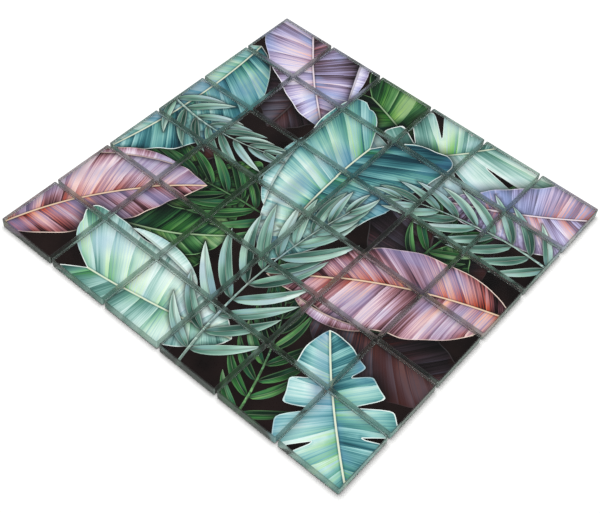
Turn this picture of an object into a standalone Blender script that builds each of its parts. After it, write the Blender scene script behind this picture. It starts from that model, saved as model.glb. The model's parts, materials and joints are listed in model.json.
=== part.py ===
"""Glass mosaic sheet: a six by six field of clear glass tiles on a glass-fibre net.

The sheet lies flat with its face up. The origin is the middle of the net's underside, +Z points
out of the face, X runs along the rows and Y along the columns. Row 1 is the one nearest -Y and
column 1 the one nearest -X.
"""

import math

import bmesh
import bpy

MM = 0.001

# The tile field
ROWS = 6
COLUMNS = 6
TILE_SIDE = 48.0 * MM
JOINT = 2.0 * MM

# Through the thickness, from the underside up
SHEET_THICKNESS = 8.0 * MM
NET_THICKNESS = 0.4 * MM
GLUE_LINE = 0.3 * MM

# A tile's edges
CORNER_RADIUS = 1.0 * MM
CORNER_STEPS = 3
FACE_ARRIS = 0.5 * MM
FACE_ARRIS_STEPS = 2
BACK_ARRIS = 0.3 * MM
BACK_ARRIS_STEPS = 1
ROUND_PROFILE = 0.5

# The net stops short of the outer tiles' edges
NET_MARGIN = 2.0 * MM
NET_CORNER_RADIUS = 2.0 * MM

# What follows from them
PITCH = TILE_SIDE + JOINT
GLASS_BOTTOM = NET_THICKNESS + GLUE_LINE
GLASS_THICKNESS = SHEET_THICKNESS - GLASS_BOTTOM
FIELD_X = COLUMNS * PITCH - JOINT
FIELD_Y = ROWS * PITCH - JOINT

# Finishes: colour as red, green, blue and alpha, then roughness
GLASS_COLOUR = (0.36, 0.50, 0.45, 1.0)
GLASS_ROUGHNESS = 0.06
NET_COLOUR = (0.78, 0.78, 0.75, 1.0)
NET_ROUGHNESS = 0.85

SMOOTH_ANGLE = math.radians(35.0)


def clear_objects():
    for old in list(bpy.data.objects):
        bpy.data.objects.remove(old, do_unlink=True)


def plain_material(name, colour, roughness):
    """A non-metal of one colour."""
    material = bpy.data.materials.new(name)
    material.use_nodes = True
    shader = material.node_tree.nodes["Principled BSDF"]
    shader.inputs["Base Color"].default_value = colour
    shader.inputs["Roughness"].default_value = roughness
    shader.inputs["Metallic"].default_value = 0.0
    return material


def is_upright(edge):
    """True for an edge that runs along Z."""
    a, b = (vertex.co for vertex in edge.verts)
    return math.isclose(a.x, b.x) and math.isclose(a.y, b.y)


def rim_edges(bm, height):
    """The edges that border the flat face at one height."""
    faces = [f for f in bm.faces if all(abs(v.co.z - height) < 0.01 * MM for v in f.verts)]
    return list({edge for face in faces for edge in face.edges})


def bevel_edges(bm, edges, size, steps):
    bmesh.ops.bevel(
        bm,
        geom=edges,
        offset=size,
        offset_type="OFFSET",
        segments=steps,
        profile=ROUND_PROFILE,
        affect="EDGES",
    )


def rounded_slab(size_x, size_y, thickness, corner_radius):
    """A slab standing on Z = 0, centred on X and Y, with its four upright edges rounded."""
    bm = bmesh.new()
    bmesh.ops.create_cube(bm, size=1.0)
    bmesh.ops.scale(bm, vec=(size_x, size_y, thickness), verts=bm.verts)
    bmesh.ops.translate(bm, vec=(0.0, 0.0, thickness / 2.0), verts=bm.verts)
    bevel_edges(bm, [e for e in bm.edges if is_upright(e)], corner_radius, CORNER_STEPS)
    return bm


def finished_mesh(bm, name, material):
    mesh = bpy.data.meshes.new(name)
    bm.to_mesh(mesh)
    bm.free()
    mesh.materials.append(material)
    mesh.shade_smooth()
    mesh.set_sharp_from_angle(angle=SMOOTH_ANGLE)
    return mesh


def tile_mesh(material):
    """One glass tile: rounded corners, a ground arris round the face and a finer one behind."""
    bm = rounded_slab(TILE_SIDE, TILE_SIDE, GLASS_THICKNESS, CORNER_RADIUS)
    bevel_edges(bm, rim_edges(bm, GLASS_THICKNESS), FACE_ARRIS, FACE_ARRIS_STEPS)
    bevel_edges(bm, rim_edges(bm, 0.0), BACK_ARRIS, BACK_ARRIS_STEPS)
    return finished_mesh(bm, "glass_tile", material)


def net_mesh(material):
    """The net's outer shape, one thin slab that reaches under every tile."""
    bm = rounded_slab(
        FIELD_X - 2.0 * NET_MARGIN,
        FIELD_Y - 2.0 * NET_MARGIN,
        NET_THICKNESS,
        NET_CORNER_RADIUS,
    )
    return finished_mesh(bm, "net", material)


def place(name, mesh, location, parent):
    part = bpy.data.objects.new(name, mesh)
    part.location = location
    part.parent = parent
    bpy.context.scene.collection.objects.link(part)
    return part


def tile_centre(index, count):
    """How far the tile of this number, counted from one, lies from the middle of its line."""
    return (index - (count + 1) / 2.0) * PITCH


def lay_tiles(sheet):
    mesh = tile_mesh(plain_material("printed_glass", GLASS_COLOUR, GLASS_ROUGHNESS))
    for row in range(1, ROWS + 1):
        for column in range(1, COLUMNS + 1):
            spot = (tile_centre(column, COLUMNS), tile_centre(row, ROWS), GLASS_BOTTOM)
            place(f"tile_r{row}_c{column}", mesh, spot, sheet)


def lay_net(sheet):
    mesh = net_mesh(plain_material("glass_fibre_net", NET_COLOUR, NET_ROUGHNESS))
    place("net_backing", mesh, (0.0, 0.0, 0.0), sheet)


def main():
    clear_objects()
    sheet = bpy.data.objects.new("mosaic_sheet", None)
    bpy.context.scene.collection.objects.link(sheet)
    lay_net(sheet)
    lay_tiles(sheet)


main()
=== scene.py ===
"""Glass mosaic sheet: six by six clear tiles with a foliage print on their backs, glued to a net.

Lengths named in millimetres are the print's own; everything handed to Blender is in metres.
"""
import json
import math
import random
from collections import namedtuple
from functools import partial

import bmesh
import bpy
import numpy as np
from bpy.props import FloatProperty, FloatVectorProperty, IntProperty, PointerProperty
from mathutils import Matrix, Vector
from mathutils.geometry import delaunay_2d_cdt
from mathutils.kdtree import KDTree

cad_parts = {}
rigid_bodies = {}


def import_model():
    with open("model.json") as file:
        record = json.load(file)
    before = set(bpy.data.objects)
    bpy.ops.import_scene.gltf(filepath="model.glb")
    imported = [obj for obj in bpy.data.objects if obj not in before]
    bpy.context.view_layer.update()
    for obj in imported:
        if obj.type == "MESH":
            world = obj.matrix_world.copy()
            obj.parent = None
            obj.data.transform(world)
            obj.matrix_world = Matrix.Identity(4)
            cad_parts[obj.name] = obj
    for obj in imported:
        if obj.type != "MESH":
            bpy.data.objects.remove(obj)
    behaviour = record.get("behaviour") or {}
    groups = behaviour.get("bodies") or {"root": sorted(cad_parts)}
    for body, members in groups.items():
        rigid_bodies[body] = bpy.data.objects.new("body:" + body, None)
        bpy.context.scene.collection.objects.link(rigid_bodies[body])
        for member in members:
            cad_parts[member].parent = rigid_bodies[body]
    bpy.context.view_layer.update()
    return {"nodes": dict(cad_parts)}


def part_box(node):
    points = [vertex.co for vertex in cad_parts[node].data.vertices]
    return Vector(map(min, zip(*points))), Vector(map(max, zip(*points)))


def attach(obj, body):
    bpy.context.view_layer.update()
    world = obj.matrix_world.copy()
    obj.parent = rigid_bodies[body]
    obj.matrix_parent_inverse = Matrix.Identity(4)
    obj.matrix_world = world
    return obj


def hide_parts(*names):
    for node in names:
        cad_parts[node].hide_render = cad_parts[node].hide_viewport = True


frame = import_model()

bl_info = {
    "name": "Glass mosaic sheet",
    "version": (1, 0, 0),
    "blender": (4, 5, 0),
    "location": "View3D > Sidebar > Mosaic",
    "description": "Finishes a sheet of back-printed glass mosaic tiles on its net",
    "category": "Add Mesh",
}

MM = 0.001
NET_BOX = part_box("net_backing")
TILE_BOXES = {name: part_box(name) for name in sorted(frame["nodes"]) if name.startswith("tile_")}
FIRST_TILE = next(iter(TILE_BOXES.values()))
TILE_SIDE = FIRST_TILE[1].x - FIRST_TILE[0].x
TILE_BACK = FIRST_TILE[0].z


# ---------------------------------------------------------------- small helpers


def linear(hex_colour, alpha=1.0):
    """The linear RGBA colour of an sRGB hex value such as '#8FC4BE'."""
    values = [int(hex_colour[i:i + 2], 16) / 255.0 for i in (1, 3, 5)]
    return tuple(v / 12.92 if v <= 0.04045 else ((v + 0.055) / 1.055) ** 2.4 for v in values) + (alpha,)


def add_node(tree, kind, inputs=None, stops=(), **settings):
    """Adds a node of a kind, ShaderNode left out, with its settings and links.

    inputs gives each input a value, another node's socket, or a node, which stands for its first
    socket. stops gives a colour ramp its places and hex colours.
    """
    node = tree.nodes.new("ShaderNode" + kind)
    for name, value in settings.items():
        setattr(node, name, value)
    for key, value in (inputs or {}).items():
        if isinstance(value, bpy.types.Node):
            value = value.outputs[0]
        if isinstance(value, bpy.types.NodeSocket):
            tree.links.new(value, node.inputs[key])
        else:
            node.inputs[key].default_value = value
    if stops:
        elements = node.color_ramp.elements
        elements.remove(elements[1])
        elements[0].position, elements[0].color = stops[0][0], linear(stops[0][1])
        for place, colour in stops[1:]:
            elements.new(place).color = linear(colour)
    return node


def new_material(name):
    """An empty node material, and add_node for its tree."""
    material = bpy.data.materials.new(name)
    material.use_nodes = True
    material.node_tree.nodes.clear()
    return material, partial(add_node, material.node_tree)


def add_piece(mesh, *materials):
    """A piece with the mesh's own name and these materials."""
    for material in materials:
        mesh.materials.append(material)
    piece = bpy.data.objects.new(mesh.name, mesh)
    bpy.context.scene.collection.objects.link(piece)
    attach(piece, "root")
    return piece


# ---------------------------------------------------------------- the print's drawing

# Lengths in mm
BROAD = 12  # A leaf wider than this to each side is broad
POINT_SPACING = 3.0
PRINT_CORNER = 0.7
# The dark along a tile's edge is painted shade
RING_INSETS = (1.3, 2.8)  # Rings of points inside a tile's edge carry the dark along it
SHADOW_REACH = 11.0
EDGE_PAINTED_SHADE_REACH = 5.0
FAR = 9.0  # Out of the reach of any line
# How much of the light a leaf's drawn shadow and the painted shade along a tile's edge take at most
SHADOW_DEPTH = 0.82
EDGE_PAINTED_SHADE_DEPTH = 0.42

# A leaf is drawn in its own measures: the station along its midrib and the offset from it. A side
# vein leaves the midrib at its root station and leans forward by lean times its offset, so each
# point also has the root of the vein through it.

LeafForm = namedtuple("LeafForm", "reach lean_base lean_tip sides")

# Where the slots of a slotted leaf lie along it and how deep each goes, then half a slot's width as
# a share of the leaf's length and the deepest slot as a share of its reach
SLOTS = ((0.12, 0.8), (0.26, 1.0), (0.41, 0.95), (0.55, 0.9), (0.69, 0.7))
SLOT_WIDTH = 0.014
SLOT_DEPTH = 0.68


def paddle_reach(t):
    return np.sin(math.pi * np.clip(t, 0, 1) ** 0.62)


def lance_reach(t):
    return np.sin(math.pi * np.clip(t, 0, 1) ** 0.72) ** 0.8


def heart_reach(t):
    t = np.clip(t, 0, 1)
    return (0.6 + 0.4 * np.sqrt(np.minimum(1, t / 0.16))) * (1 - t ** 1.7)


def slotted_reach(t):
    """A heart-shaped blade cut between its veins."""
    t = np.clip(t, 0, 1)
    cut = sum(depth * np.exp(-((t - spot) / SLOT_WIDTH) ** 2) for spot, depth in SLOTS)
    return heart_reach(t) * (1 - SLOT_DEPTH * np.minimum(cut, 1))


def roll_reach(t):
    return np.sin(math.pi * np.clip(t, 0, 1)) ** 0.7


FORMS = {
    "paddle": LeafForm(paddle_reach, 0.30, 1.20, 60),
    "lance": LeafForm(lance_reach, 0.0, 0.0, 12),
    "heart": LeafForm(heart_reach, -1.05, 0.95, 56),
    "slotted": LeafForm(slotted_reach, -1.05, 0.95, 170),
    "roll": LeafForm(roll_reach, 0.0, 0.0, 20),
}


class Midrib:
    """A piece of a circle, from its base in a heading, turning by so much over its length."""

    def __init__(self, base, heading, length, turn):
        self.base = np.array(base, float)
        self.heading = heading
        self.length = length
        self.radius = length / (turn if abs(turn) > 0.001 else 0.001)
        self.centre = self.base + self.radius * np.array((-math.sin(heading), math.cos(heading)))

    def place(self, station, offset):
        """The points at these stations and offsets, the left side being positive."""
        angle = self.heading + np.asarray(station, float) / self.radius
        reach = self.radius - np.asarray(offset, float)
        return self.centre + np.stack((reach * np.sin(angle), -reach * np.cos(angle)), -1)

    def measure(self, points):
        """The station and the offset of each point."""
        away = (points - self.centre) * np.sign(self.radius)
        angle = np.arctan2(away[:, 0], -away[:, 1]) - self.heading
        angle = (angle + math.pi) % (2 * math.pi) - math.pi
        offset = self.radius - np.sign(self.radius) * np.hypot(away[:, 0], away[:, 1])
        return self.radius * angle, offset


class Blade:
    """One leaf or leaflet of the drawing, as an outline with its midrib and its ink."""

    def __init__(self, ink, form, midrib, width, seed, narrow=1.0, dim=0.0):
        self.ink, self.midrib, self.seed, self.dim = ink, midrib, seed, dim
        self.form, self.width, self.narrow = FORMS[form], width, narrow
        roots = np.linspace(0, 1, self.form.sides + 1)
        margins = [self.edge(roots, 1), self.edge(roots[1:-1], -1)[::-1]]
        if self.form.reach(np.zeros(1))[0] > 0:
            margins = [self.lobe(1), *margins, self.edge(roots[:1], -1), self.lobe(-1)[::-1]]
        self.outline = np.concatenate(margins)
        self.spine = midrib.place(np.linspace(0, midrib.length, max(4, self.form.sides // 2)), 0)

    def side_width(self, side):
        """The half turned away is narrower than the other."""
        return self.width * np.where(np.asarray(side) > 0, 1.0, self.narrow)

    def lobe(self, side):
        """The rounded inner margin of a heart-shaped base, from the stalk out to the first vein."""
        share = np.linspace(0 if side > 0 else 0.15, 0.85, 7)
        out = share * self.side_width(side) * self.form.reach(np.zeros(1))[0]
        back = self.form.lean_base * out - 0.15 * self.width * np.sin(math.pi * share)
        return self.midrib.place(back, side * out)

    def edge(self, roots, side):
        """The margin at these shares of the midrib. That of a broad leaf waves a little."""
        wave = 0.03 * np.sin(17 * roots + 40 * self.seed + side)
        wave += 0.02 * np.sin(41 * roots + 90 * self.seed)
        reach = self.side_width(side) * self.form.reach(roots) * (1 + wave if self.width > BROAD else 1)
        lean = self.form.lean_base + (self.form.lean_tip - self.form.lean_base) * roots
        return self.midrib.place(roots * self.midrib.length + reach * lean, side * reach)

    def measure(self, points):
        """For each point the root station of its vein, its offset and its share of the reach."""
        station, offset = self.midrib.measure(points)
        out = np.abs(offset)
        slope = (self.form.lean_tip - self.form.lean_base) / self.midrib.length
        root = (station - self.form.lean_base * out) / (1 + slope * out)
        reach = self.side_width(offset) * self.form.reach(root / self.midrib.length)
        return root, offset, np.clip(out / np.maximum(reach, 0.3), 0, 1)

    def hatch(self, root, offset):
        """The places across and along the fine lines, which follow the side veins."""
        return root, np.abs(offset)

    def shape(self, root, share, side):
        """How light the blade is drawn, how warm it is, and how broad its pleats are."""
        along = root / self.midrib.length
        crown = np.sin(math.pi * np.clip(share, 0, 1)) ** 0.8
        sway = np.sin(2 * math.pi * (along * 1.2 + self.seed))
        lit = side if self.seed > 0.5 else -side
        # Lightest half way out and on its lit half, darkest at its base
        tone = 0.43 + 0.22 * crown + 0.10 * lit + 0.12 * sway * share - 0.20 * np.exp(-along / 0.12)
        warm = np.exp(-share / 0.4) * (0.5 + 0.8 * self.seed) + 0.5 * np.exp(-along / 0.25)
        return tone, warm, np.ones(len(root))


class Leaflet(Blade):
    """A slender blade of a frond, with lines that run its length, dark at its base and pale at its tip."""

    def hatch(self, root, offset):
        return offset, root

    def shape(self, root, share, side):
        along = root / self.midrib.length
        lit = side if self.seed > 0.5 else -side
        tone = 0.30 + 0.48 * np.clip(along, 0, 1) ** 0.8 + 0.07 * lit + 0.06 * share
        return tone, 0.6 - along, np.full(len(root), 0.12)


class Roll(Blade):
    """The strip of a broad leaf's margin that has curled over, and so shows the pale underside."""

    def shape(self, root, share, side):
        tone = 1.0 - 0.42 * share ** 1.5
        return tone, np.zeros(len(root)), np.full(len(root), 0.3)


class Stalk(Blade):
    """A thin stem that tapers along its midrib, round and lit from one side."""

    def __init__(self, ink, midrib, width, seed, dim=0.0):
        self.ink, self.midrib, self.seed, self.dim = ink, midrib, seed, dim
        stations = np.linspace(0, midrib.length, 14)
        half = width * (0.5 - 0.35 * stations / midrib.length)
        self.width = width / 2
        self.outline = np.concatenate((midrib.place(stations, half), midrib.place(stations, -half)[::-1]))
        self.spine = None

    def measure(self, points):
        station, offset = self.midrib.measure(points)
        return station, offset, np.clip(np.abs(offset) / self.width, 0, 1)

    def shape(self, root, share, side):
        return 0.60 + 0.18 * side, np.zeros(len(root)), np.full(len(root), 0.1)


def diagonal_rib(place, heading, length, turn):
    """A midrib whose base and heading, in degrees, are given along the sheet's diagonals."""
    p, q = place
    base = ((p + q) / math.sqrt(2), (q - p) / math.sqrt(2))
    return Midrib(base, math.radians(heading - 45), length, math.radians(turn))


class Drawing:
    """The whole foliage picture, from the back to the front."""

    def __init__(self, seed):
        self.dice = random.Random(seed)
        self.blades = []

    def leaf(self, ink, form, place, heading, length, width, turn=0.0, narrow=1.0, dim=0.0):
        midrib = diagonal_rib(place, heading, length, turn)
        self.blades.append(Blade(ink, form, midrib, width, self.dice.random(), narrow, dim))

    def roll(self, side, start, stop, width):
        """Curls the last leaf's margin over, on one side, from one share of its length to another."""
        leaf = self.blades[-1]
        first, middle, last = leaf.edge(np.array((start, (start + stop) / 2, stop)), side)
        chord, bend = last - first, middle - (first + last) / 2
        half = np.hypot(*chord) / 2
        depth = (chord[0] * bend[1] - chord[1] * bend[0]) / (2 * half)
        turn = -4 * math.atan(depth / half)
        heading = math.atan2(chord[1], chord[0]) - turn / 2
        length = 2 * half if abs(turn) < 1e-3 else half / math.sin(abs(turn) / 2) * abs(turn)
        rib = Midrib(first, heading, length, turn)
        # It bulges 0.12 times as far outwards as inwards
        blade = Roll(leaf.ink, "roll", rib, width, self.dice.random(), 0.12)
        if side < 0:
            blade = Roll(leaf.ink, "roll", rib, width * 0.12, self.dice.random(), 1 / 0.12)
        self.blades.append(blade)

    def frond(self, ink, place, heading, length, leaflet, turn=0.0, pairs=12, dim=0.0):
        """A feathered frond: pairs of leaflets that shorten and lie forward towards its tip."""
        rib = diagonal_rib(place, heading, length, turn)
        for step in range(pairs):
            share = 0.10 + 0.88 * step / (pairs - 1)
            station = share * length
            size = leaflet * (math.sin(math.pi * min(1.0, 0.22 + 0.70 * share)) ** 0.6)
            spread = math.radians(68 - 44 * share)
            for side in (1, -1):
                spread_here = spread + self.dice.uniform(-0.08, 0.08)
                away = rib.heading + station / rib.radius + side * spread_here
                own = size * self.dice.uniform(0.88, 1.08)
                own_rib = Midrib(rib.place(station, 0), away, own, -side * self.dice.uniform(0.3, 0.7))
                width = own * 0.062 + 0.9
                self.blades.append(Leaflet(ink, "lance", own_rib, width, self.dice.random(), dim=dim))
        self.blades.append(Stalk(ink, rib, 1.9, self.dice.random(), dim))


def compose(seed):
    """The picture's leaves, placed by p to the right and q away on the sheet's diagonals."""
    d = Drawing(seed)
    # Far leaves, sunk in the dark
    d.leaf("night", "paddle", (-60, 60), 200, 120, 34, 20)
    d.leaf("night", "paddle", (40, 190), 250, 120, 34, -25)
    d.leaf("night", "heart", (90, -10), 250, 110, 52)
    d.leaf("night", "paddle", (0, -60), 300, 130, 34, 30)
    d.leaf("night", "paddle", (-100, -20), 250, 110, 34, 10)
    d.leaf("night", "paddle", (150, 70), 200, 120, 32, 20)
    # Deep green growth behind the broad leaves
    d.leaf("fern", "heart", (-70, 40), 250, 90, 40, 12, dim=0.25)
    d.leaf("fern", "heart", (60, 120), 300, 90, 38, -12, dim=0.2)
    d.leaf("fern", "paddle", (20, -90), 20, 110, 26, 30, dim=0.15)
    d.leaf("fern", "paddle", (-150, 10), 330, 100, 24, 30, dim=0.2)
    d.frond("fern", (-10, -20), 130, 130, 50, 25, 10)
    d.frond("fern", (62, -50), 46, 120, 46, -26, 9)
    d.frond("fern", (-64, -166), 55, 130, 44, 26, 10)
    # Broad leaves
    d.leaf("teal", "paddle", (-22, 180), 232, 160, 40, -18, 0.8)
    d.roll(-1, 0.25, 0.6, 7)
    d.leaf("lilac", "heart", (22, 206), 262, 118, 52, 12, 0.85)
    d.roll(1, 0.3, 0.7, 8)
    d.leaf("mint", "slotted", (158, 66), 192, 128, 58, -16)
    d.leaf("plum", "paddle", (-214, -2), 30, 150, 38, -34, 0.75)
    d.roll(1, 0.35, 0.75, 7)
    d.leaf("mint", "heart", (-152, -40), 322, 112, 50, 10, 0.9)
    d.roll(1, 0.25, 0.6, 8)
    d.leaf("lilac", "heart", (208, -8), 176, 112, 46, -14, 0.8)
    d.leaf("teal", "heart", (52, 66), 222, 134, 58, 16, 0.85)
    d.roll(-1, 0.3, 0.65, 9)
    d.leaf("plum", "paddle", (128, -92), 152, 168, 40, 26, 0.8)
    d.roll(1, 0.4, 0.8, 7)
    d.leaf("teal", "slotted", (6, -226), 96, 130, 54, -12)
    # Pale fronds in front
    d.frond("sage", (-96, -122), 58, 180, 60, -26, 11)
    d.frond("sage", (170, -60), 128, 130, 50, 30, 9)
    d.frond("sage", (-96, 128), 300, 96, 42, 34, 8)
    return d.blades


def segment_distance(points, outline):
    """How far each point lies from a closed outline."""
    step = np.roll(outline, -1, axis=0) - outline
    away = points[:, None, :] - outline[None]
    share = (away * step).sum(-1) / np.maximum((step * step).sum(-1), 1e-12)
    gap = away - np.clip(share, 0, 1)[..., None] * step
    return np.sqrt((gap * gap).sum(-1).min(1))


def near(points, outline, reach=0.0):
    """The indices of the points that lie within reach of the box round an outline."""
    low, high = outline.min(0) - reach, outline.max(0) + reach
    return np.nonzero((points > low).all(1) & (points < high).all(1))[0]


def inside(points, outline):
    """The indices of the points that lie within a closed outline."""
    found = near(points, outline)
    x, y = points[found, :1], points[found, 1:]
    a, b = outline, np.roll(outline, -1, axis=0)
    crosses = (a[:, 1] > y) != (b[:, 1] > y)
    rise = np.where(b[:, 1] == a[:, 1], 1e-12, b[:, 1] - a[:, 1])
    crosses &= x < a[:, 0] + (y - a[:, 1]) * (b[:, 0] - a[:, 0]) / rise
    return found[crosses.sum(1) % 2 == 1]


def rounded_square(centre, half, radius, spacing):
    """Points round a square with rounded corners, anticlockwise."""
    straight = half - radius
    side = np.linspace(-straight, straight, max(2, round(2 * straight / spacing) + 1))
    arc = np.linspace(0, math.pi / 2, 4)[1:-1]
    points = []
    for turn in range(4):
        quarter = np.concatenate((
            np.column_stack((np.full(len(side), half), side)),
            np.column_stack((straight + radius * np.cos(arc), straight + radius * np.sin(arc)))))
        c, s = round(math.cos(turn * math.pi / 2)), round(math.sin(turn * math.pi / 2))
        points.append(quarter @ np.array(((c, s), (-s, c))))
    return np.concatenate(points) + centre


INKS = ("night_ground", "night", "fern", "teal", "mint", "lilac", "plum", "sage")


def triangulate(lines, spots, tolerance):
    """Points and triangles that cross none of these lines, each given with whether it is closed."""
    points, edges = [], []
    for line, closed in lines:
        first, count = len(points), len(line)
        points.extend(line)
        edges.extend((first + i, first + (i + 1) % count) for i in range(count if closed else count - 1))
    points = [Vector(p) for p in (*points, *spots)]
    found = delaunay_2d_cdt(points, edges, [], 0, tolerance, False)
    return np.array([tuple(v) for v in found[0]]), np.array(found[2])


def divide_plane(blades, squares, spacing):
    """Cuts the drawing and the tiles' squares into triangles that never cross an outline."""
    lines = []
    for blade in blades:
        lines.append((blade.outline, True))
        if blade.spine is not None:
            lines.append((blade.spine, False))
    lines += [(square, True) for square in squares]
    drawn = np.concatenate([line for line, _ in lines])
    tree = KDTree(len(drawn))
    for index, (x, y) in enumerate(drawn):
        tree.insert((x, y, 0.0), index)
    tree.balance()
    reach = max(abs(square).max() for square in squares)
    rows = int(2 * reach / (spacing * math.sqrt(3) / 2))
    spots = []
    for row in range(rows + 1):
        y = -reach + row * spacing * math.sqrt(3) / 2
        for column in range(int(2 * reach / spacing) + 1):
            x = -reach + (column + 0.5 * (row % 2)) * spacing
            # A point this close to a line would only make slivers
            if tree.find((x, y, 0.0))[2] > 0.4 * spacing:
                spots.append((x, y))
    return triangulate(lines, spots, 1e-4)


def paint(blades, points, triangles, from_edge):
    """For each triangle its ink, and for each of its corners the measures that the inks read.

    from_edge is how far each triangle's corners lie from the edge of their tile, which sets the painted
    shade along it.
    """
    corners = points[triangles]
    middles = corners.mean(1)
    owner = np.full(len(triangles), -1)
    for index, blade in enumerate(blades):
        owner[inside(middles, blade.outline)] = index
    grain = np.zeros((len(triangles), 3, 3))
    place = np.zeros((len(triangles), 3, 3))
    form = np.full((len(triangles), 3, 3), 0.5)
    inks = np.zeros(len(triangles), int)
    for index in range(-1, len(blades)):
        mine = np.nonzero(owner == index)[0]
        if not len(mine):
            continue
        flat = corners[mine].reshape(-1, 2)
        if index < 0:
            grain[mine, :, :2] = corners[mine]
            place[mine, :, :2] = FAR
            dim = 0.0
        else:
            blade = blades[index]
            root, offset, share = blade.measure(flat)
            side = np.repeat(np.sign(blade.midrib.measure(middles[mine])[1]), 3)
            shape = (len(mine), 3, 3)
            # Each half of each leaf reads the noises at a depth of its own
            depth = 100 * blade.seed + 7 * side
            grain[mine] = np.stack((*blade.hatch(root, offset), depth), -1).reshape(shape)
            place[mine, :, 0] = np.abs(offset).reshape(-1, 3)
            place[mine, :, 1] = segment_distance(flat, blade.outline).reshape(-1, 3)
            form[mine] = np.stack(np.broadcast_arrays(*blade.shape(root, share, side)), -1).reshape(shape)
            inks[mine] = INKS.index(blade.ink)
            dim = blade.dim
        shade = np.zeros(len(flat))
        for above in blades[index + 1:]:
            # A slender leaflet throws a narrower shadow
            reach = min(SHADOW_REACH, 2.0 + above.width * 0.4)
            spots = near(flat, above.outline, reach)
            gap = 1 - segment_distance(flat[spots], above.outline) / reach
            shade[spots] = np.maximum(shade[spots], SHADOW_DEPTH * np.clip(gap, 0, 1) ** 1.5)
        place[mine, :, 2] = np.clip(shade + dim, 0, 1).reshape(-1, 3)
    # Painted shade: the print is darkened near its tile's edge, where the ground sides take some of the
    # light that falls near them
    painted_edge_shade = EDGE_PAINTED_SHADE_DEPTH * np.clip(1 - from_edge / EDGE_PAINTED_SHADE_REACH, 0, 1) ** 1.2
    place[:, :, 2] = 1 - (1 - place[:, :, 2]) * (1 - painted_edge_shade)
    return inks, grain, place, form


# ---------------------------------------------------------------- materials

InkColours = namedtuple("InkColours", "tones cast accents rim rib")

INK_COLOURS = {
    "night": (InkColours(("#0A0809", "#181416", "#292126", "#38343E", "#5A5C6A"), "#4A221A",
                         ("#1C0B08", "#5A2014", "#7A4430"), "#3E3A3C", "#4A4042"), 0.6),
    "fern": (InkColours(("#071511", "#173422", "#2C5D34", "#5C9558", "#ACD29A"), "#1C4E4E",
                        ("#103818", "#469236", "#B0DA70"), "#8CBC80", "#B5D2A6"), 0.65),
    "teal": (InkColours(("#173844", "#3A747C", "#72AAAB", "#A5D0CF", "#DDEEEB"), "#4A7EA2",
                        ("#16482C", "#3B9050", "#9CCE8A"), "#EEF8F4", "#E2E8D0"), 0.8),
    "mint": (InkColours(("#2F5751", "#63938A", "#9DC3BB", "#CAE3DD", "#E9F5F2"), "#A0C2D4",
                        ("#22642C", "#62B058", "#CCEAA8"), "#F6FCF8", "#DCE6CC"), 0.72),
    "lilac": (InkColours(("#2C2028", "#6A5A6C", "#988CB0", "#C6C0E6", "#F3EDF9"), "#8AA6D8",
                         ("#46201A", "#AE5A46", "#F4B4A2"), "#FCF8FE", "#F0DEE6"), 1.1),
    "plum": (InkColours(("#150C0E", "#4A2C32", "#8C6068", "#BE9AAE", "#EDDDE9"), "#8080AC",
                        ("#42140C", "#BE4C2E", "#F2B494"), "#F4DCCE", "#EBCBAE"), 0.95),
    "sage": (InkColours(("#1E3A32", "#527A6E", "#90B6A8", "#C2DAD0", "#E7F3EE"), "#8CAABC",
                        ("#145028", "#4E9A60", "#B4E0AC"), "#EAF4EC", "#E6F0E2"), 0.5),
}
# The colour of the picture's drawn shadows, and of the painted shade near each tile's edge
SHADOW_INK = "#0B0D0F"
TONE_STOPS = (0.0, 0.28, 0.5, 0.72, 1.0)
ACCENT_STOPS = (0.1, 0.5, 0.95)

# Spacing across and length along, in mm, and the noise's detail, for the hairlines, the veins, the
# folds and the clouds of colour. Real jetted hairlines are finer than 0.1 mm: they are drawn as
# coarse as it takes to see them.
HATCHING = ((0.8, 50, 1.0), (2.4, 60, 1.0), (15, 70, 0.0), (34, 30, 1.0))
PLEAT = 13.0  # mm from one crease to the next


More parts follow.
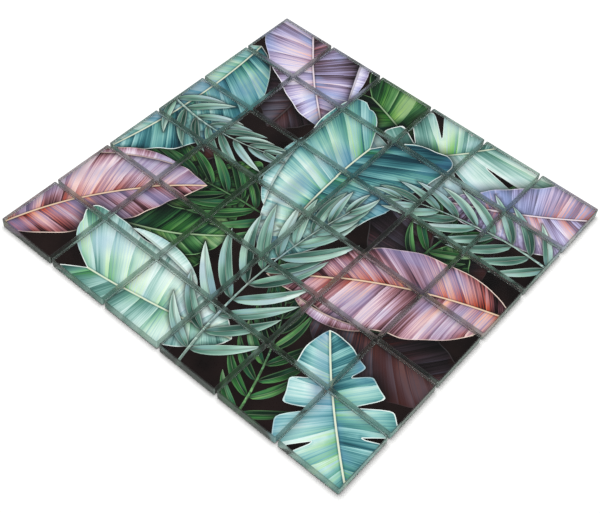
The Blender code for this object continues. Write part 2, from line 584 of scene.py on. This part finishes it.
def leaf_ink(name, colours, hatch):
    """UV-cured ink jetted on the glass: flat colour drawn as fine pleats, streaks, rim and midrib."""
    material, node = new_material(f"{name}_leaf_uv_ink")
    grain, place, form = (node("Attribute", attribute_name=label).outputs["Vector"]
                          for label in ("grain", "place", "form"))
    rib, rim, shade = node("SeparateXYZ", {0: place}).outputs
    tone, warm, size = node("SeparateXYZ", {0: form}).outputs
    noises = []
    for spacing, length, detail in HATCHING:
        drawn = node("VectorMath", {0: grain, 1: (1 / spacing, 1 / length, 1)}, operation="MULTIPLY")
        noise = node("TexNoise", {"Vector": drawn, "Scale": 1.0, "Detail": detail})
        noises.append(noise.outputs[0])
    hair, vein, fold, cloud = noises
    # Each pleat rises from dark to light and ends in a crease
    station = node("SeparateXYZ", {0: grain}).outputs[0]
    pleat = node("Math", {0: station, 1: 1 / PLEAT}, operation="MULTIPLY")
    pleat = node("Math", {0: fold, 1: 1.1, 2: pleat}, operation="MULTIPLY_ADD")
    pleat = node("Math", {0: pleat}, operation="FRACT")
    pleat = node("Math", {0: pleat, 1: size}, operation="MULTIPLY")
    # How much each of them lightens or darkens the ink
    weights = ((hair, 0.88 * hatch), (vein, 0.25 * hatch), (cloud, 0.85), (fold, 0.6), (pleat, 0.38))
    tone = node("Math", {0: tone, 1: sum(weight for _, weight in weights) / 2}, operation="SUBTRACT")
    for source, weight in weights:
        tone = node("Math", {0: source, 1: weight, 2: tone}, operation="MULTIPLY_ADD")
    colour = node("ValToRGB", {0: tone}, tuple(zip(TONE_STOPS, colours.tones)))
    accent = node("ValToRGB", {0: tone}, tuple(zip(ACCENT_STOPS, colours.accents)))
    # Warm streaks where the leaf is warm and both the hairlines and the folds are light
    streak = warm
    for source, nothing, full in ((hair, 0.36, 0.64), (fold, 0.44, 0.58)):
        part = node("MapRange", {"Value": source, "From Min": nothing, "From Max": full})
        streak = node("Math", {0: streak, 1: part}, operation="MULTIPLY", use_clamp=True)
    cast = node("MapRange", {"Value": cloud, "From Min": 0.5, "From Max": 0.66, "To Max": 0.6})
    # A midrib 1.2 mm wide on a broad leaf, with a dark line along it, and less on a leaflet
    share = node("Math", {0: size, 1: 0.65, 2: 0.35}, operation="MULTIPLY_ADD")
    bold = node("Math", {0: size, 1: 1.0, 2: 0.1}, operation="MULTIPLY_ADD", use_clamp=True)
    rib = node("Math", {0: rib, 1: share}, operation="DIVIDE")
    # The pale rim comes and goes along the margin
    uneven = node("MapRange", {
        "Value": cloud, "From Min": 0.42, "From Max": 0.6, "To Min": 0.95, "To Max": 0.3})
    lines = []
    for source, nothing, full, strength in ((rib, 0.75, 0.45, 0.9), (rim, 0.85, 0.4, uneven)):
        line = node("MapRange", {"Value": source, "From Min": nothing, "From Max": full, "To Max": strength})
        lines.append(node("Math", {0: line, 1: bold}, operation="MULTIPLY"))
    hollow = node("MapRange", {"Value": rib, "From Min": 2.0, "From Max": 0.8, "To Max": 0.5})
    # The last layer darkens the ink with the picture's drawn shadows and with painted shade near the tile's
    # edge
    layers = (
        (cast, linear(colours.cast)), (streak, accent), (hollow, linear(colours.tones[0])),
        (lines[0], linear(colours.rib)), (lines[1], linear(colours.rim)), (shade, linear(SHADOW_INK)))
    for factor, ink in layers:
        colour = node("Mix", {0: factor, 6: colour, 7: ink}, data_type="RGBA").outputs[2]
    # No gloss of its own: the ink lies against the glass
    shader = node("BsdfPrincipled", {"Base Color": colour, "Roughness": 0.55, "Specular IOR Level": 0.0})
    node("OutputMaterial", {"Surface": shader})
    return material


def night_ink():
    """The same ink laid solid, the near-black ground between the leaves, in clouds 33 mm wide."""
    material, node = new_material("night_ground_uv_ink")
    grain = node("Attribute", attribute_name="grain").outputs["Vector"]
    cloud = node("TexNoise", {"Vector": grain, "Scale": 0.03, "Detail": 3.0})
    colour = node("ValToRGB", {0: cloud}, ((0.35, "#090708"), (0.7, "#211716")))
    shader = node("BsdfPrincipled", {"Base Color": colour, "Roughness": 0.6, "Specular IOR Level": 0.0})
    node("OutputMaterial", {"Surface": shader})
    return material


def grained(name, scale, detail, ramp, dents, looks):
    """A material with one noise, scale being its cells to a metre, that tints it and dents it.

    ramp gives the tints, dents their strength and depth in m, and looks the shader's other inputs.
    """
    material, node = new_material(name)
    where = node("TexCoord").outputs["Object"]
    noise = node("TexNoise", {"Vector": where, "Scale": scale, "Detail": detail})
    inputs = dict(looks)
    if ramp:
        inputs["Base Color"] = node("ValToRGB", {0: noise}, ramp)
    if dents:
        inputs["Normal"] = node("Bump", {"Height": noise, "Strength": dents[0], "Distance": dents[1]})
    node("OutputMaterial", {"Surface": node("BsdfPrincipled", inputs)})
    return material


def backing_coat():
    """Sprayed white backing paint behind the ink: chalky, faintly mottled every 3 mm."""
    ramp = ((0.0, "#B9B8B3"), (1.0, "#DEDDD8"))
    return grained("sprayed_backing_coat", 350.0, 3.0, ramp, None, {"Roughness": 0.7})


def polished_glass():
    """Drawn soda-lime glass with a fire-polished face: clear, faintly green, in waves of 22 mm."""
    return grained("polished_soda_lime_glass", 45.0, 1.0, None, (0.03, 0.0012), {
        "Base Color": linear("#F5FAF9"), "Roughness": 0.02, "IOR": 1.52, "Transmission Weight": 1.0})


def ground_glass(name, clearness):
    """The same glass where the wheel cut it: matt, with the print's colours glowing dimly through.

    clearness is the share of the light that goes on through. The wheel's marks are finer than
    0.1 mm and are drawn 0.6 mm wide so that they show.
    """
    ramp = ((0.3, "#6F7E76"), (0.75, "#84938B"))
    return grained(name, 1800.0, 2.0, ramp, (0.12, 0.00005), {
        "Roughness": 0.75, "IOR": 1.52, "Transmission Weight": clearness})


def coated_yarn():
    """Glass-fibre yarn dipped in white binder: chalky, its fibres showing faintly, 0.4 mm apart."""
    ramp = ((0.0, "#A9A8A2"), (1.0, "#E6E5DF"))
    return grained("coated_glass_fibre_yarn", 2500.0, 2.0, ramp, (0.6, 0.0001), {"Roughness": 0.75})


def glue_darkened_as_joint_shade():
    """Flexible tile glue, squeezed flat and cured: dull rubber with a skin that dips every 4 mm. Its dark
    grey is partly the glue's own and partly painted shade for the bottoms of the joints.
    """
    # Darker than the glue alone: painted shade for the joints' bottoms
    ramp = ((0.0, "#3E3E3C"), (1.0, "#5A5A56"))
    return grained("cured_tile_glue_darkened_as_joint_shade", 260.0, 2.0, ramp, (0.3, 0.0003), {"Roughness": 0.35})


# ---------------------------------------------------------------- meshes


def slab_mesh(name, points, triangles, high, low, slots=None, layers=None, back_slot=0, holes=False):
    """A closed slab over a plan: its triangles on top, at height high, and a flat back at height low."""
    used, inverse = np.unique(triangles, return_inverse=True)
    count = len(used)
    top = inverse.reshape(-1, 3)
    starts, ends = top.ravel(), np.roll(top, -1, axis=1).ravel()
    border = ~np.isin(starts * count + ends, ends * count + starts)
    starts, ends = starts[border], ends[border]
    repeated = np.arange(count) if holes else np.unique(starts)
    below = np.zeros(count, int)
    below[repeated] = count + np.arange(len(repeated))
    walls = np.column_stack((ends, starts, below[starts], below[ends]))
    if holes:
        back = below[top[:, ::-1]].tolist()
    else:
        after = dict(zip(starts.tolist(), ends.tolist()))
        loop = [starts[0]]
        while after[loop[-1]] != loop[0]:
            loop.append(after[loop[-1]])
        back = [below[loop[::-1]].tolist()]
    plan = points[used] * MM
    vertices = np.concatenate((
        np.column_stack((plan, np.broadcast_to(high, len(points))[used])),
        np.column_stack((plan[repeated], np.full(len(repeated), low)))))
    mesh = bpy.data.meshes.new(name)
    mesh.from_pydata(vertices.tolist(), [], top.tolist() + walls.tolist() + back)
    for label, values in (layers or {}).items():
        layer = mesh.attributes.new(label, "FLOAT_VECTOR", "CORNER")
        corners = np.zeros((len(mesh.loops), 3), np.float32)
        corners[:top.size] = values.reshape(-1, 3)
        layer.data.foreach_set("vector", corners.ravel())
    if slots is not None:
        finish = np.full(len(mesh.polygons), back_slot, np.int32)
        finish[:len(top)] = slots
        mesh.polygons.foreach_set("material_index", finish)
    mesh.update()
    return mesh


def net_mesh(name, side, height, pitch, width, thickness):
    """A square of plain-woven yarn. Each thread is a flat ribbon that goes over one and under the next."""
    count = int(side / pitch)
    first = -pitch * (count - 1) / 2
    sway = (height - thickness) / 2
    section = ((-0.5, 0.0), (0.0, -0.5), (0.5, 0.0), (0.0, 0.5))
    vertices, faces = [], []
    for turned in (False, True):
        for thread in range(count):
            middle = first + thread * pitch
            inner = first + pitch / 2 * np.arange(2 * count - 1)
            stations = np.concatenate(([-side / 2], inner, [side / 2]))
            for step, along in enumerate(stations):
                beat = math.cos(math.pi * (along - first) / pitch) * (-1) ** thread * (-1 if turned else 1)
                level = height / 2 + sway * beat
                for out, up in section:
                    point = (along, middle + out * width, level + up * thickness)
                    vertices.append((point[1], point[0], point[2]) if turned else point)
                if step:
                    start = len(vertices) - 8
                    for k in range(4):
                        ring = (start + k, start + (k + 1) % 4, start + 4 + (k + 1) % 4, start + 4 + k)
                        faces.append(ring[::-1] if turned else ring)
            ends = (len(vertices) - 4 * len(stations), len(vertices) - 4)
            for end, forward in zip(ends, (turned, not turned)):
                cap = tuple(range(end, end + 4))
                faces.append(cap if forward else cap[::-1])
    mesh = bpy.data.meshes.new(name)
    mesh.from_pydata(vertices, [], faces)
    mesh.shade_smooth()
    return mesh


# In mm: the distance between the points along a band of glue, and the width of its step down where
# it passes under a tile. Then the share by which its half width varies, and the chance variation.
GLUE_STEP = 3.0
GLUE_LIP = 0.04
GLUE_SWAY = 0.22
GLUE_SEED = 11
# How high the glue's back lies, as a share of the net's thickness
GLUE_BACK = 0.55


def glue_plan(lines, half_width, gap, reach):
    """Bands of glue along these lines in both directions, with uneven edges: points and triangles."""
    dice = np.random.default_rng(GLUE_SEED)
    along = np.arange(-reach, reach + 0.1, GLUE_STEP)
    widest = 1.3 * half_width
    bands, drawn = [], []
    for turned in (False, True):
        for line in lines:
            left, right = (line + side * half_width * (1 + GLUE_SWAY * dice.uniform(-1, 1, len(along)))
                           for side in (1, -1))
            bands.append((turned, left, right))
            parts = [np.column_stack((along, edge)) for edge in (left, right, np.full(len(along), line))]
            # The glue stands up between the tiles, and steps down where it passes under them
            parts += [np.array(((-reach, line + offset), (reach, line + offset)))
                      for offset in (gap - GLUE_LIP, gap, GLUE_LIP - gap, -gap)]
            parts += [np.array(((end, line - widest), (end, line + widest))) for end in along[[0, -1]]]
            drawn += [(part[:, ::-1] if turned else part, False) for part in parts]
    plan, triangles = triangulate(drawn, (), 1e-3)
    middles = plan[triangles].mean(1)
    covered = np.zeros(len(triangles), bool)
    for turned, left, right in bands:
        run, offset = middles[:, int(turned)], middles[:, 1 - int(turned)]
        within = (offset < np.interp(run, along, left)) & (offset > np.interp(run, along, right))
        covered |= within & (np.abs(run) < along[-1])
    return plan, triangles[covered]


# The back's arris as a share of the face's, and how much light the ground sides let on
BACK_ARRIS = 0.3
SIDE_CLEARNESS = 0.92


def glass_mesh(name, low, high, radius, arris):
    """One tile's glass: polished face and back, ground sides and a ground arris round the face."""
    bm = bmesh.new()
    size = high - low
    bmesh.ops.create_cube(bm, size=1.0, matrix=Matrix.LocRotScale((low + high) / 2, None, size))
    bevel = partial(bmesh.ops.bevel, bm, profile=0.5, affect="EDGES", offset_type="OFFSET")
    upright = [e for e in bm.edges if abs(e.verts[0].co.z - e.verts[1].co.z) > size.z / 2]
    bevel(geom=upright, offset=radius, segments=6)
    for height, width, steps in ((high.z, arris, 3), (low.z, arris * BACK_ARRIS, 1)):
        edges = [e for e in bm.edges if all(abs(v.co.z - height) < 1e-6 for v in e.verts)]
        bevel(geom=edges, offset=width, segments=steps)
    for face in bm.faces:
        # Polished face and back, ground side, ground arris between them
        tilt = abs(face.normal.z)
        face.material_index = 0 if tilt > 0.999 else 1 if tilt < 0.01 else 2
        face.smooth = True
    mesh = bpy.data.meshes.new(name)
    bm.to_mesh(mesh)
    bm.free()
    mesh.set_sharp_from_angle(angle=math.radians(20))
    return mesh


# ---------------------------------------------------------------- settings


class MosaicPrintSettings(bpy.types.PropertyGroup):
    thickness: FloatProperty(
        name="Print thickness", description="Ink and backing coat together", default=0.15 * MM,
        unit="LENGTH", precision=5)
    sunk: FloatProperty(
        name="Sunk into glass", description="How far the ink's face stands in the glass", default=0.05 * MM,
        unit="LENGTH", precision=5)
    margin: FloatProperty(
        name="Clear margin", description="Unprinted glass round each tile", default=0.2 * MM, unit="LENGTH",
        precision=5)
    seed: IntProperty(name="Seed", description="Which chance variation of the leaflets to draw", default=4)


class MosaicGlassSettings(bpy.types.PropertyGroup):
    corner: FloatProperty(
        name="Corner radius", description="Rounding of a tile's upright corners", default=1.0 * MM,
        unit="LENGTH", precision=5)
    arris: FloatProperty(
        name="Arris", description="Width of the ground edge round a tile's face", default=0.6 * MM,
        unit="LENGTH", precision=5)


class MosaicNetSettings(bpy.types.PropertyGroup):
    pitch: FloatProperty(
        name="Pitch", description="From one thread to the next", default=5.0 * MM, unit="LENGTH",
        precision=5)
    yarn: FloatProperty(
        name="Yarn width", description="Width of the flattened yarn", default=0.9 * MM, unit="LENGTH",
        precision=5)
    yarn_thickness: FloatProperty(
        name="Yarn thickness", description="Thickness of the flattened yarn", default=0.2 * MM,
        unit="LENGTH", precision=5)
    band: FloatProperty(
        name="Glue band", description="Width of the glue along each joint", default=9.0 * MM, unit="LENGTH",
        precision=5)
    rise: FloatProperty(
        name="Glue rise", description="How far the glue stands up between the tiles", default=0.3 * MM,
        unit="LENGTH", precision=5)


class MosaicStageSettings(bpy.types.PropertyGroup):
    azimuth: FloatProperty(
        name="Azimuth", description="The camera's bearing round the sheet", default=math.radians(-54.709),
        subtype="ANGLE")
    elevation: FloatProperty(
        name="Elevation", description="The camera's height angle", default=math.radians(51.611),
        subtype="ANGLE")
    roll: FloatProperty(
        name="Roll", description="The camera's tilt about its line of sight", default=math.radians(6.494),
        subtype="ANGLE")
    distance: FloatProperty(
        name="Distance", description="From the picture plane through the origin", default=771.93 * MM,
        unit="LENGTH")
    aim: FloatVectorProperty(
        name="Aim", description="Where in the picture plane the camera looks", size=2,
        default=(-5.605 * MM, -24.990 * MM), unit="LENGTH")
    lens: FloatProperty(name="Lens", description="Focal length in millimetres", default=65.47)
    wall_glow: FloatProperty(
        name="Wall glow", description="How bright the studio is at the horizon", default=0.45, min=0.0)
    ceiling_glow: FloatProperty(
        name="Ceiling glow", description="How bright the studio is from 27 degrees up", default=0.12,
        min=0.0)
    floor: FloatVectorProperty(
        name="Floor", description="The pale floor's colour", size=4, subtype="COLOR",
        default=linear("#F8F8F7"), min=0.0, max=1.0)


# ---------------------------------------------------------------- operators

# Each lamp's name, place and width in m, power in W, what it lights and what shades from it. The
# key lights the print through the clear glass. The fill stands low and reaches the outer sides
# only. The floor has a lamp of its own, for which the glass does throw a shadow.
LAMPS = (
    ("key", (-0.42, -0.28, 1.8), 1.4, 42.6, "sheet", "opaque"),
    ("fill", (-0.55, -1.6, 0.12), 0.24, 195.0, "glass", "sheet"),
    ("floor_lamp", (0.25, 0.42, 3.0), 2.4, 110.0, "backdrop", None),
)
FLOOR_SIZE = 6.0
SENSOR_WIDTH = 36.0


class MOSAIC_OT_print(bpy.types.Operator):
    """Draws the foliage picture and lays its share behind each tile"""

    bl_idname = "mosaic.print_sheets"
    bl_label = "Print"

    def execute(self, context):
        settings = context.scene.mosaic_print
        half = TILE_SIDE / 2 / MM - settings.margin / MM
        centres = np.array([(low + high)[:2] for low, high in TILE_BOXES.values()]) / 2 / MM
        squares = [rounded_square(centre, half, PRINT_CORNER, POINT_SPACING) for centre in centres]
        rings = [rounded_square(centre, half - inset, PRINT_CORNER, POINT_SPACING)
                 for centre in centres for inset in RING_INSETS]
        blades = compose(settings.seed)
        points, triangles = divide_plane(blades, squares + rings, POINT_SPACING)
        middles = points[triangles].mean(1)
        home = np.full(len(triangles), -1)
        for index, square in enumerate(squares):
            home[inside(middles, square)] = index
        kept = home >= 0
        triangles, home = triangles[kept], home[kept]
        from_edge = TILE_SIDE / 2 / MM - np.abs(points[triangles] - centres[home][:, None]).max(-1)
        inks, grain, place, form = paint(blades, points, triangles, from_edge)
        leaves = (leaf_ink(name, *INK_COLOURS[name]) for name in INKS[1:])
        materials = (night_ink(), *leaves, backing_coat())
        for index, name in enumerate(TILE_BOXES):
            mine = home == index
            mesh = slab_mesh(
                name.replace("tile", "print"), points, triangles[mine], TILE_BACK + settings.thickness,
                TILE_BACK, inks[mine], {"grain": grain[mine], "place": place[mine], "form": form[mine]},
                len(INKS))
            piece = add_piece(mesh, *materials)
        return {"FINISHED"}


class MOSAIC_OT_glass(bpy.types.Operator):
    """Makes each tile's glass, polished on the face and ground on the sides"""

    bl_idname = "mosaic.glass_tiles"
    bl_label = "Glass"

    def execute(self, context):
        settings = context.scene.mosaic_glass
        ink = context.scene.mosaic_print
        bottom = ink.thickness - ink.sunk
        materials = (polished_glass(), ground_glass("ground_glass_side", SIDE_CLEARNESS),
                     ground_glass("ground_glass_arris", 1.0))
        for name, (low, high) in TILE_BOXES.items():
            mesh = glass_mesh(name.replace("tile", "glass"), low + Vector((0, 0, bottom)), high,
                              settings.corner, settings.arris)
            piece = add_piece(mesh, *materials)
            # Clear glass lets the light through to its print
            piece.visible_diffuse = False
            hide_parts(name)
        return {"FINISHED"}


class MOSAIC_OT_net(bpy.types.Operator):
    """Weaves the open net that holds the tiles together"""

    bl_idname = "mosaic.net"
    bl_label = "Net"

    def execute(self, context):
        settings = context.scene.mosaic_net
        mesh = net_mesh("net", NET_BOX[1].x - NET_BOX[0].x, NET_BOX[1].z, settings.pitch, settings.yarn,
                        settings.yarn_thickness)
        piece = add_piece(mesh, coated_yarn())
        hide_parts("net_backing")
        return {"FINISHED"}


class MOSAIC_OT_glue(bpy.types.Operator):
    """Lays the bands of glue that bond the tiles to the net along every joint"""

    bl_idname = "mosaic.glue"
    bl_label = "Glue"

    def execute(self, context):
        settings = context.scene.mosaic_net
        reach = NET_BOX[1].x / MM - 0.5
        tiles = [((low + high) / 2 / MM).to_2d() for low, high in TILE_BOXES.values()]
        half = TILE_SIDE / 2 / MM
        starts = sorted({tile.x - half for tile in tiles})
        gap = (starts[1] - starts[0] - 2 * half) / 2
        lines = [start - gap for start in starts[1:]]
        half_width = settings.band / 2 / MM
        plan, triangles = glue_plan(lines, half_width, gap, reach)
        from_line = np.abs(plan[:, :, None] - np.array(lines)).min(2)
        high = np.where((from_line < gap - GLUE_LIP / 2).any(1), TILE_BACK + settings.rise, TILE_BACK)
        mesh = slab_mesh("glue_bands", plan, triangles, high, NET_BOX[1].z * GLUE_BACK, holes=True)
        piece = add_piece(mesh, glue_darkened_as_joint_shade())
        return {"FINISHED"}


class MOSAIC_OT_stage(bpy.types.Operator):
    """Sets the pale floor, the soft lights and the camera"""

    bl_idname = "mosaic.stage"
    bl_label = "Stage"

    def execute(self, context):
        settings = context.scene.mosaic_stage
        scene = context.scene
        bpy.ops.mesh.primitive_plane_add(size=FLOOR_SIZE, location=(0, 0, 0))
        floor = context.object
        floor.name = "floor"
        material, node = new_material("pale_floor")
        shader = node("BsdfPrincipled", {
            "Base Color": settings.floor, "Roughness": 0.9, "Specular IOR Level": 0.1})
        node("OutputMaterial", {"Surface": shader})
        floor.data.materials.append(material)
        world = bpy.data.worlds.new("studio")
        scene.world = world
        world.use_nodes = True
        world.node_tree.nodes.clear()
        world.cycles.sampling_method = "NONE"
        # Pale walls under a dim ceiling
        node = partial(add_node, world.node_tree)
        rise = node("SeparateXYZ", {0: node("TexCoord")}).outputs["Z"]
        glow = node("MapRange", {
            "Value": rise, "From Min": 0.0, "From Max": 0.45, "To Min": settings.wall_glow,
            "To Max": settings.ceiling_glow})
        room = node("Background", {"Color": (1.0, 1.0, 1.0, 1.0), "Strength": glow})
        node("OutputWorld", {"Surface": room})
        labels = ("backdrop", "sheet", "opaque", "glass")
        groups = {label: bpy.data.collections.new(label) for label in labels}
        groups["backdrop"].objects.link(floor)
        for piece in scene.objects:
            if piece.type == "MESH" and piece is not floor and not piece.hide_render:
                groups["sheet"].objects.link(piece)
                groups["glass" if piece.name.startswith("glass") else "opaque"].objects.link(piece)
        for label, spot, size, power, lit, shading in LAMPS:
            light = bpy.data.lights.new(label, "AREA")
            light.shape = "DISK"
            light.size = size
            light.energy = power
            lamp = bpy.data.objects.new(label, light)
            lamp.location = spot
            lamp.rotation_euler = Vector(spot).to_track_quat("Z", "Y").to_euler()
            # The fill only brightens what scatters light
            lamp.visible_transmission = lit != "glass"
            lamp.light_linking.receiver_collection = groups[lit]
            lamp.light_linking.blocker_collection = groups.get(shading)
            lamp.visible_camera = lamp.visible_glossy = False
            scene.collection.objects.link(lamp)
        data = bpy.data.cameras.new("camera")
        data.lens = settings.lens
        data.sensor_width = SENSOR_WIDTH
        data.sensor_fit = "HORIZONTAL"
        data.clip_start = 0.01
        camera = bpy.data.objects.new("camera", data)
        turns = ((settings.azimuth, "Z"), (math.pi / 2 - settings.elevation, "X"), (settings.roll, "Z"))
        for angle, axis in turns:
            camera.matrix_world @= Matrix.Rotation(angle, 4, axis)
        camera.matrix_world @= Matrix.Translation((*settings.aim, settings.distance))
        scene.collection.objects.link(camera)
        scene.camera = camera
        scene.view_settings.view_transform = "Standard"
        scene.cycles.caustics_reflective = False
        scene.cycles.caustics_refractive = False
        return {"FINISHED"}


OPERATORS = (MOSAIC_OT_print, MOSAIC_OT_glass, MOSAIC_OT_net, MOSAIC_OT_glue, MOSAIC_OT_stage)


class MOSAIC_PT_sheet(bpy.types.Panel):
    """Lists the sheet's steps with their sizes and colours"""

    bl_label = "Glass mosaic sheet"
    bl_idname = "MOSAIC_PT_sheet"
    bl_space_type = "VIEW_3D"
    bl_region_type = "UI"
    bl_category = "Mosaic"

    def draw(self, context):
        for operator in OPERATORS:
            self.layout.operator(operator.bl_idname)
        for name, group in SETTINGS.items():
            box = self.layout.box()
            for key in group.__annotations__:
                box.prop(getattr(context.scene, name), key)


SETTINGS = {
    "mosaic_print": MosaicPrintSettings,
    "mosaic_glass": MosaicGlassSettings,
    "mosaic_net": MosaicNetSettings,
    "mosaic_stage": MosaicStageSettings,
}


def register():
    for kind in (*SETTINGS.values(), *OPERATORS, MOSAIC_PT_sheet):
        bpy.utils.register_class(kind)
    for name, group in SETTINGS.items():
        setattr(bpy.types.Scene, name, PointerProperty(type=group))


def unregister():
    for name in SETTINGS:
        delattr(bpy.types.Scene, name)
    for kind in (*SETTINGS.values(), *OPERATORS, MOSAIC_PT_sheet):
        bpy.utils.unregister_class(kind)


def main():
    register()
    bpy.ops.mosaic.print_sheets()
    bpy.ops.mosaic.glass_tiles()
    bpy.ops.mosaic.net()
    bpy.ops.mosaic.glue()
    bpy.ops.mosaic.stage()


if __name__ == "__main__":
    main()
